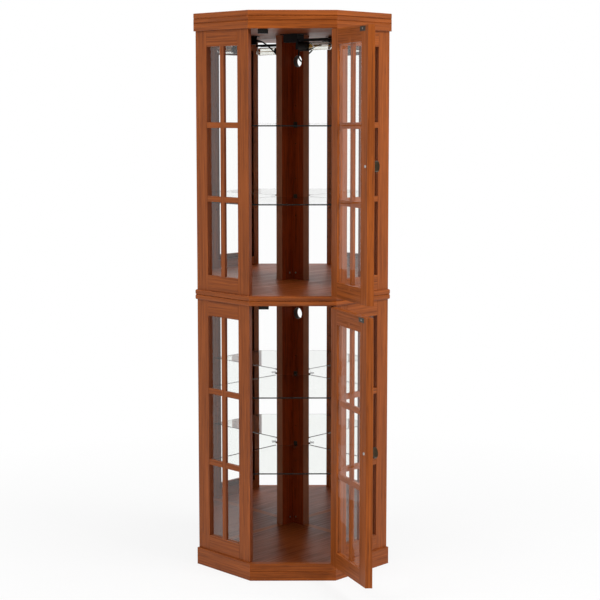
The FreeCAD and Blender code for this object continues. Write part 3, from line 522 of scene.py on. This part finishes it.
def woodFilm(name, look, run):
    material, tree = newMaterial(name)
    place = grainPlace(tree, run)
    band, streak, pores = [
        grain(tree, place, look, pattern) for pattern in ("band", "streak", "pores")
    ]
    figure = addNode(
        tree,
        "ShaderNodeMix",
        {0: filmNoise["streakShare"], 2: band, 3: streak},
        data_type="FLOAT",
    ).outputs[0]
    ground = addNode(
        tree,
        "ShaderNodeMix",
        {0: figure, 6: linear(look["dark"]), 7: linear(look["light"])},
        data_type="RGBA",
    ).outputs[2]
    poreShare = addNode(
        tree, "ShaderNodeMath", {0: pores, 1: filmNoise["poreShare"]}, operation="MULTIPLY"
    ).outputs[0]
    colour = addNode(
        tree,
        "ShaderNodeMix",
        {0: poreShare, 6: ground, 7: linear(look["pore"])},
        data_type="RGBA",
    ).outputs[2]
    # the cut edges get a colour of their own: pale on the posts, painted shade on the window
    # frames
    if "cutEdge" in run:
        share = cutEdgeShare(tree, run)
        colour = addNode(
            tree,
            "ShaderNodeMix",
            {0: share, 6: colour, 7: linear(run["cutEdge"])},
            data_type="RGBA",
        ).outputs[2]
    smooth, rough = look["roughness"]
    gloss = addNode(
        tree,
        "ShaderNodeMapRange",
        {"Value": streak, "To Min": rough, "To Max": smooth},
    ).outputs[0]
    height = addNode(tree, "ShaderNodeMath", {0: streak, 1: pores}, operation="SUBTRACT")
    bump = addNode(
        tree,
        "ShaderNodeBump",
        {"Height": height.outputs[0], "Distance": look["relief"],
         "Strength": filmNoise["reliefStrength"]},
    )
    shader = addNode(
        tree,
        "ShaderNodeBsdfPrincipled",
        {
            "Base Color": colour,
            "Roughness": gloss,
            "Specular IOR Level": look["specular"],
            "Normal": bump.outputs[0],
        },
    )
    addNode(tree, "ShaderNodeOutputMaterial", {0: shader.outputs[0]})
    return material


dress(woodFilm("cherryFilmFront", cherry, runs["front"]), "crown_front_rail",
      "plinth_front_board", "plinth_lip")
dress(woodFilm("cherryFilmSides", cherrySide, runs["sides"]), "crown_side_rails",
      "plinth_side_boards")
dress(woodFilm("cherryFilmBacks", cherry, runs["backs"]), "crown_back_rails",
      "plinth_back_boards")
dress(woodFilm("cherryFilmPanels", cherryPanel, runs["panels"]), "top_panel",
      "lower_top_panel", "upper_floor_panel", "ceiling_panel")
# the lowest floor, with its painted shade
dress(woodFilm("cherryFilmShadedBase", cherryShadedBase, runs["panels"]), "lower_floor_panel")
dressFaces(woodFilm("cherryFilmNosings", cherrySide, runs["panels"]), panelEdges,
           "top_panel", "lower_top_panel", "upper_floor_panel")
dress(woodFilm("cherryFilmWindows", cherrySide, runs["windows"]), "lower_right_frame",
      "lower_left_frame", "upper_right_frame", "upper_left_frame")
dress(woodFilm("cherryFilmWindowBars", cherrySide, runs["windowBars"]), "side_glazing_bars")
dress(woodFilm("cherryFilmDoors", cherry, runs["doors"]), "upper_door_frame",
      "lower_door_frame")
dress(woodFilm("cherryFilmDoorBars", cherry, runs["doorBars"]), "upper_door_glazing_bars",
      "lower_door_glazing_bars")
dress(woodFilm("walnutFilmPost", walnut, runs["posts"]), "lower_right_post_board",
      "lower_left_post_board", "upper_right_post_board", "upper_left_post_board")
# the hole walls get painted shade
dressFaces(woodFilm("walnutFilmHoleShade", walnutShadedHole, runs["holes"]), shadedHoleWalls,
           "lower_right_post_board", "upper_right_post_board")
print("wood dressed")

# Float glass: faces as smooth as water, with a few wiped smears. Real float glass has an
# index of 1.52. Here it is lower, so that the veil of reflected light on the panes and
# shelves stays as faint as in a darker room.
windowGlass = {
    "tint": "#fdfefd",
    "ior": 1.42,
    "roughness": (0.0, 0.006),
    "smear": 0.35,  # size of a smear
    "smearDetail": 3,
    "smearRange": (0.45, 0.8),  # noise at which a smear begins and is full
}
doorGlass = {**windowGlass, "ior": 1.19}
# Shelf glass: the ground edges look nearly black, with a little green.
shelfGlass = {
    **windowGlass,
    "tint": "#f2f5f2",
    "ior": 1.36,
    "smear": 0.25,
    "edge": "#0f1412",
    "edgeRoughness": 0.25,
    "edgeSpecular": 0.15,
    "edgeLean": 0.5,  # a face that looks less up or down than this is an edge
}
# Blown soda-lime glass of the bulb: clear, with soft ripples.
bulbGlass = {
    **windowGlass,
    "tint": "#fbfbf7",
    "ior": 1.5,
    "roughness": (0.0, 0.02),
    "smear": 0.02,
}


def wipedGloss(tree, place, look):
    # roughness that rises a little in the smears
    noise = addNode(
        tree,
        "ShaderNodeTexNoise",
        {"Vector": place, "Scale": 1 / look["smear"], "Detail": look["smearDetail"]},
    )
    begins, full = look["smearRange"]
    smooth, rough = look["roughness"]
    return addNode(
        tree,
        "ShaderNodeMapRange",
        {"Value": noise.outputs[0], "From Min": begins, "From Max": full,
         "To Min": smooth, "To Max": rough},
    ).outputs[0]


def clearGlass(name, look):
    material, tree = newMaterial(name)
    place = addNode(tree, "ShaderNodeTexCoord")
    shader = addNode(
        tree,
        "ShaderNodeBsdfPrincipled",
        {
            "Base Color": linear(look["tint"]),
            "Roughness": wipedGloss(tree, place.outputs["Object"], look),
            "IOR": look["ior"],
            "Transmission Weight": 1.0,
        },
    ).outputs[0]
    if "edge" in look:
        parts = addNode(tree, "ShaderNodeSeparateXYZ", {0: place.outputs["Normal"]})
        lean = addNode(
            tree, "ShaderNodeMath", {0: parts.outputs["Z"]}, operation="ABSOLUTE"
        )
        isEdge = addNode(
            tree,
            "ShaderNodeMath",
            {0: lean.outputs[0], 1: look["edgeLean"]},
            operation="LESS_THAN",
        )
        edge = addNode(
            tree,
            "ShaderNodeBsdfPrincipled",
            {"Base Color": linear(look["edge"]), "Roughness": look["edgeRoughness"],
             "Specular IOR Level": look["edgeSpecular"]},
        )
        shader = addNode(
            tree,
            "ShaderNodeMixShader",
            {0: isEdge.outputs[0], 1: shader, 2: edge.outputs[0]},
        ).outputs[0]
    # light falls through the glass without a dark shadow
    light = addNode(tree, "ShaderNodeLightPath")
    through = addNode(tree, "ShaderNodeBsdfTransparent", {0: linear(look["tint"])})
    both = addNode(
        tree,
        "ShaderNodeMixShader",
        {0: light.outputs["Is Shadow Ray"], 1: shader, 2: through.outputs[0]},
    )
    addNode(tree, "ShaderNodeOutputMaterial", {0: both.outputs[0]})
    return material


dress(clearGlass("floatGlassWindow", windowGlass), "side_panes")
dress(clearGlass("floatGlassDoor", doorGlass), "upper_door_pane", "lower_door_pane")
dress(clearGlass("floatGlassShelf", shelfGlass), "lower_low_shelf", "lower_high_shelf",
      "upper_low_shelf", "upper_high_shelf")
dress(clearGlass("blownGlassBulb", bulbGlass), "bulb_glass")

# Silvered float glass: a true reflection in front, grey paint behind.
mirrorLook = {
    "silver": "#fefefe",
    "roughness": (0.0, 0.006),
    "smear": 0.40,
    "smearDetail": 2,
    "smearRange": (0.5, 0.9),
    "silverFacing": -0.5,  # faces that look further towards -Y than this are silvered
    "paint": "#5d6163",
    "paintRoughness": 0.55,
    "paintGrain": 0.0015,
    "paintDepth": 0.0001,
    "paintStrength": 0.5,
}


def mirrorSheet(name):
    material, tree = newMaterial(name)
    place = addNode(tree, "ShaderNodeTexCoord")
    silver = addNode(
        tree,
        "ShaderNodeBsdfPrincipled",
        {"Base Color": linear(mirrorLook["silver"]), "Metallic": 1.0,
         "Roughness": wipedGloss(tree, place.outputs["Object"], mirrorLook)},
    )
    speckle = addNode(
        tree,
        "ShaderNodeTexNoise",
        {"Vector": place.outputs["Object"], "Scale": 1 / mirrorLook["paintGrain"]},
    )
    paintBump = addNode(
        tree,
        "ShaderNodeBump",
        {"Height": speckle.outputs[0], "Distance": mirrorLook["paintDepth"],
         "Strength": mirrorLook["paintStrength"]},
    )
    paint = addNode(
        tree,
        "ShaderNodeBsdfPrincipled",
        {"Base Color": linear(mirrorLook["paint"]),
         "Roughness": mirrorLook["paintRoughness"], "Normal": paintBump.outputs[0]},
    )
    parts = addNode(tree, "ShaderNodeSeparateXYZ", {0: place.outputs["Normal"]})
    front = addNode(
        tree,
        "ShaderNodeMath",
        {0: parts.outputs["Y"], 1: mirrorLook["silverFacing"]},
        operation="LESS_THAN",
    )
    both = addNode(
        tree,
        "ShaderNodeMixShader",
        {0: front.outputs[0], 1: paint.outputs[0], 2: silver.outputs[0]},
    )
    addNode(tree, "ShaderNodeOutputMaterial", {0: both.outputs[0]})
    return material


dress(mirrorSheet("silveredMirror"), "lower_right_mirror", "lower_left_mirror",
      "upper_right_mirror", "upper_left_mirror")
print("glass dressed")

# Small parts: colour and its darker shade, metallic, lowest and highest roughness, and
# the size and depth of the fine texture.
smallLooks = {
    # polished plate, drawn dark and warm: painted reflection of a dark room
    "darkReflectionNickel": ("#4c4030", "#2e261c", 1, 0.12, 0.22, 0.004, 0.00001),
    # passivated screws, pale and slightly cloudy
    "zincPlate": ("#c4c5c4", "#a2a4a5", 1, 0.28, 0.42, 0.003, 0.00002),
    # brushed plate, a dull grey glint, drawn darker: partly its own dark zinc, partly painted
    # reflection of a dark room
    "darkReflectionSteel": ("#55524a", "#3a3832", 1, 0.30, 0.45, 0.003, 0.00002),
    # oil-blackened plate, dark with a faint shine
    "blackenedSteel": ("#33322f", "#22211f", 1, 0.35, 0.50, 0.002, 0.00002),
    # plated rolled strip, a soft warm reflection
    "nickelStrip": ("#b9b3a9", "#979087", 1, 0.25, 0.38, 0.003, 0.00002),
    # lacquered castings, nearly black brown
    "bronzeLacquer": ("#38322c", "#231e1a", 0, 0.35, 0.50, 0.002, 0.00002),
    # spark-textured moulding, matt black
    "blackAbs": ("#252525", "#171717", 0, 0.42, 0.58, 0.0012, 0.00005),
    # polished moulding, black with a sharp highlight
    "glossPolycarbonate": ("#262626", "#1b1b1b", 0, 0.14, 0.24, 0.004, 0.00001),
    # baked enamel on pressed steel, black and slightly wavy
    "stoveEnamel": ("#232222", "#161515", 0, 0.25, 0.40, 0.003, 0.00003),
    # pressed thermoset, brownish black with half a gloss
    "mouldedPhenolic": ("#24201e", "#171412", 0, 0.30, 0.45, 0.002, 0.00004),
    # drawn cap, yellow and shiny
    "brightBrass": ("#d6b25c", "#b78f3d", 1, 0.18, 0.30, 0.002, 0.00002),
    # drawn wire, warm gold
    "filamentWire": ("#d9a441", "#a87524", 1, 0.30, 0.45, 0.001, 0.00001),
    # extruded and moulded cord parts, black with a soft dull sheen
    "softPvc": ("#1e1e1e", "#121212", 0, 0.40, 0.55, 0.0015, 0.00004),
    # plated blades, pale and clean
    "bladeNickel": ("#cfccc2", "#b1ada2", 1, 0.20, 0.32, 0.003, 0.00001),
}
fineDetail = 4  # of the texture's noise
fineStrength = 0.5  # of its bump
metalSpecular = 0.5
plasticSpecular = 0.12  # low, because the whole room round a black part is white


def smallPart(name):
    colour, shade, metallic, smooth, rough, size, depth = smallLooks[name]
    material, tree = newMaterial(name)
    place = addNode(tree, "ShaderNodeTexCoord")
    noise = addNode(
        tree,
        "ShaderNodeTexNoise",
        {"Vector": place.outputs["Object"], "Scale": 1 / size, "Detail": fineDetail},
    ).outputs[0]
    tone = addNode(
        tree,
        "ShaderNodeMix",
        {0: noise, 6: linear(shade), 7: linear(colour)},
        data_type="RGBA",
    )
    gloss = addNode(
        tree, "ShaderNodeMapRange", {"Value": noise, "To Min": smooth, "To Max": rough}
    )
    bump = addNode(
        tree,
        "ShaderNodeBump",
        {"Height": noise, "Distance": depth, "Strength": fineStrength},
    )
    shader = addNode(
        tree,
        "ShaderNodeBsdfPrincipled",
        {
            "Base Color": tone.outputs[2],
            "Metallic": metallic,
            "Roughness": gloss.outputs[0],
            "Specular IOR Level": metalSpecular if metallic else plasticSpecular,
            "Normal": bump.outputs[0],
        },
    )
    addNode(tree, "ShaderNodeOutputMaterial", {0: shader.outputs[0]})
    return material


softPvc = smallPart("softPvc")
# the knobs' dark colour is painted reflection
dress(smallPart("darkReflectionNickel"), "upper_door_knob", "lower_door_knob")
dress(smallPart("zincPlate"), "cabinet_screws", "upper_door_screws", "lower_door_screws")
# the strike plates, darkened partly by painted reflection
dress(smallPart("darkReflectionSteel"), "upper_door_strike_plate", "lower_door_strike_plate")
dress(smallPart("blackenedSteel"), "catch_plates")
dress(smallPart("nickelStrip"), "frame_hinge_leaves", "hinge_pins",
      "upper_door_hinge_leaves", "lower_door_hinge_leaves")
dress(smallPart("bronzeLacquer"), "shelf_supports")
dress(smallPart("blackAbs"), "catch_bodies", "switch_body")
dress(smallPart("glossPolycarbonate"), "switch_rocker")
dress(smallPart("stoveEnamel"), "lamp_bracket")
dress(smallPart("mouldedPhenolic"), "lampholder")
dress(smallPart("brightBrass"), "bulb_cap")
dress(smallPart("filamentWire"), "bulb_filament")
dress(softPvc, "mains_plug", "power_cord")
dress(smallPart("bladeNickel"), "plug_blades")
print("small parts dressed")

cord.data.materials.append(softPvc)
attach(cord, "cabinet")
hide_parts("power_cord")
for sleeve in sleeves:
    sleeve.data.materials.append(softPvc)
    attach(sleeve, "cabinet")

studio = {
    "ambient": 0.30,
    "ambientTint": "#ffffff",
    "floorRadius": 7.0,
    "floorSides": 96,
    "floorTone": "#f2f2f2",
    "fade": (0.7, 2.2),  # the floor turns plain white between these distances
    "floorGlow": 0.84,
    # name: place, width, height, watts
    "lamps": {
        "keyLamp": ((-2.7, -2.1, 4.1), 2.0, 2.0, 68),
        "fillLamp": ((3.1, -1.8, 3.9), 2.0, 2.0, 142),
        "topLamp": ((0.0, -0.8, 5.2), 2.4, 2.4, 55),
        "frontLamp": ((0.0, -4.8, 1.3), 1.6, 1.6, 9),
    },
    "aim": (0, 0.15, 0.95),
}


def setWorld():
    # the object is lit by the ambient tone, and what looks past it sees plain white
    world = bpy.data.worlds.new("studio")
    world.use_nodes = True
    tree = world.node_tree
    tree.nodes.clear()
    light = addNode(tree, "ShaderNodeLightPath")
    seen = addNode(
        tree,
        "ShaderNodeMath",
        {0: light.outputs["Is Camera Ray"], 1: light.outputs["Is Glossy Ray"]},
        operation="MAXIMUM",
    )
    seen = addNode(
        tree,
        "ShaderNodeMath",
        {0: seen.outputs[0], 1: light.outputs["Is Transmission Ray"]},
        operation="MAXIMUM",
    )
    ambient = addNode(
        tree,
        "ShaderNodeBackground",
        {0: linear(studio["ambientTint"]), 1: studio["ambient"]},
    )
    white = addNode(tree, "ShaderNodeBackground", {0: (1, 1, 1, 1), 1: 1.0})
    mix = addNode(
        tree,
        "ShaderNodeMixShader",
        {0: seen.outputs[0], 1: ambient.outputs[0], 2: white.outputs[0]},
    )
    addNode(tree, "ShaderNodeOutputWorld", {0: mix.outputs[0]})
    bpy.context.scene.world = world


def addLamps():
    aim = Vector(studio["aim"])
    for name, (place, width, height, watts) in studio["lamps"].items():
        data = bpy.data.lights.new(name, "AREA")
        data.shape = "RECTANGLE"
        data.size, data.size_y, data.energy = width, height, watts
        lamp = bpy.data.objects.new(name, data)
        lamp.location = place
        toward = aim - Vector(place)
        lamp.rotation_euler = toward.to_track_quat("-Z", "Y").to_euler()
        lamp.visible_camera = False
        lamp.visible_glossy = False
        lamp.visible_transmission = False
        bpy.context.scene.collection.objects.link(lamp)


def addFloor():
    mesh = bpy.data.meshes.new("floor")
    bm = bmesh.new()
    bmesh.ops.create_circle(
        bm, cap_ends=True, segments=studio["floorSides"], radius=studio["floorRadius"]
    )
    bm.to_mesh(mesh)
    bm.free()
    floor = bpy.data.objects.new("floor", mesh)
    bpy.context.scene.collection.objects.link(floor)
    material, tree = newMaterial("paperFloor")
    place = addNode(tree, "ShaderNodeTexCoord")
    distance = addNode(
        tree, "ShaderNodeVectorMath", {0: place.outputs["Object"]}, operation="LENGTH"
    )
    near, far = studio["fade"]
    glow = addNode(
        tree,
        "ShaderNodeMapRange",
        {"Value": distance.outputs["Value"], "From Min": near, "From Max": far,
         "To Min": studio["floorGlow"], "To Max": 1.0},
    )
    light = addNode(tree, "ShaderNodeLightPath")
    direct = addNode(
        tree,
        "ShaderNodeMath",
        {0: 1.0, 1: light.outputs["Is Diffuse Ray"]},
        operation="SUBTRACT",
    )
    share = addNode(
        tree,
        "ShaderNodeMath",
        {0: glow.outputs[0], 1: direct.outputs[0]},
        operation="MULTIPLY",
    )
    paper = addNode(tree, "ShaderNodeBsdfDiffuse", {0: linear(studio["floorTone"])})
    # rays that light the object meet paper, all others the floor's white glow
    white = addNode(tree, "ShaderNodeEmission", {0: (1, 1, 1, 1), 1: 1.0})
    mix = addNode(
        tree,
        "ShaderNodeMixShader",
        {0: share.outputs[0], 1: paper.outputs[0], 2: white.outputs[0]},
    )
    addNode(tree, "ShaderNodeOutputMaterial", {0: mix.outputs[0]})
    mesh.materials.append(material)


# The mirrors are kept plain: they show no bars, panes, doors, hinges or knobs.
keptOutOfMirrors = ["side_glazing_bars", "side_panes", "frame_hinge_leaves", "hinge_pins"]
for door in ("upper_door", "lower_door"):
    for piece in ("frame", "glazing_bars", "pane", "hinge_leaves", "knob", "screws"):
        keptOutOfMirrors.append(door + "_" + piece)
for name in keptOutOfMirrors:
    cadNodes[name].visible_glossy = False

setWorld()
addLamps()
addFloor()
bpy.context.scene.view_settings.view_transform = "Standard"
print("studio ready")
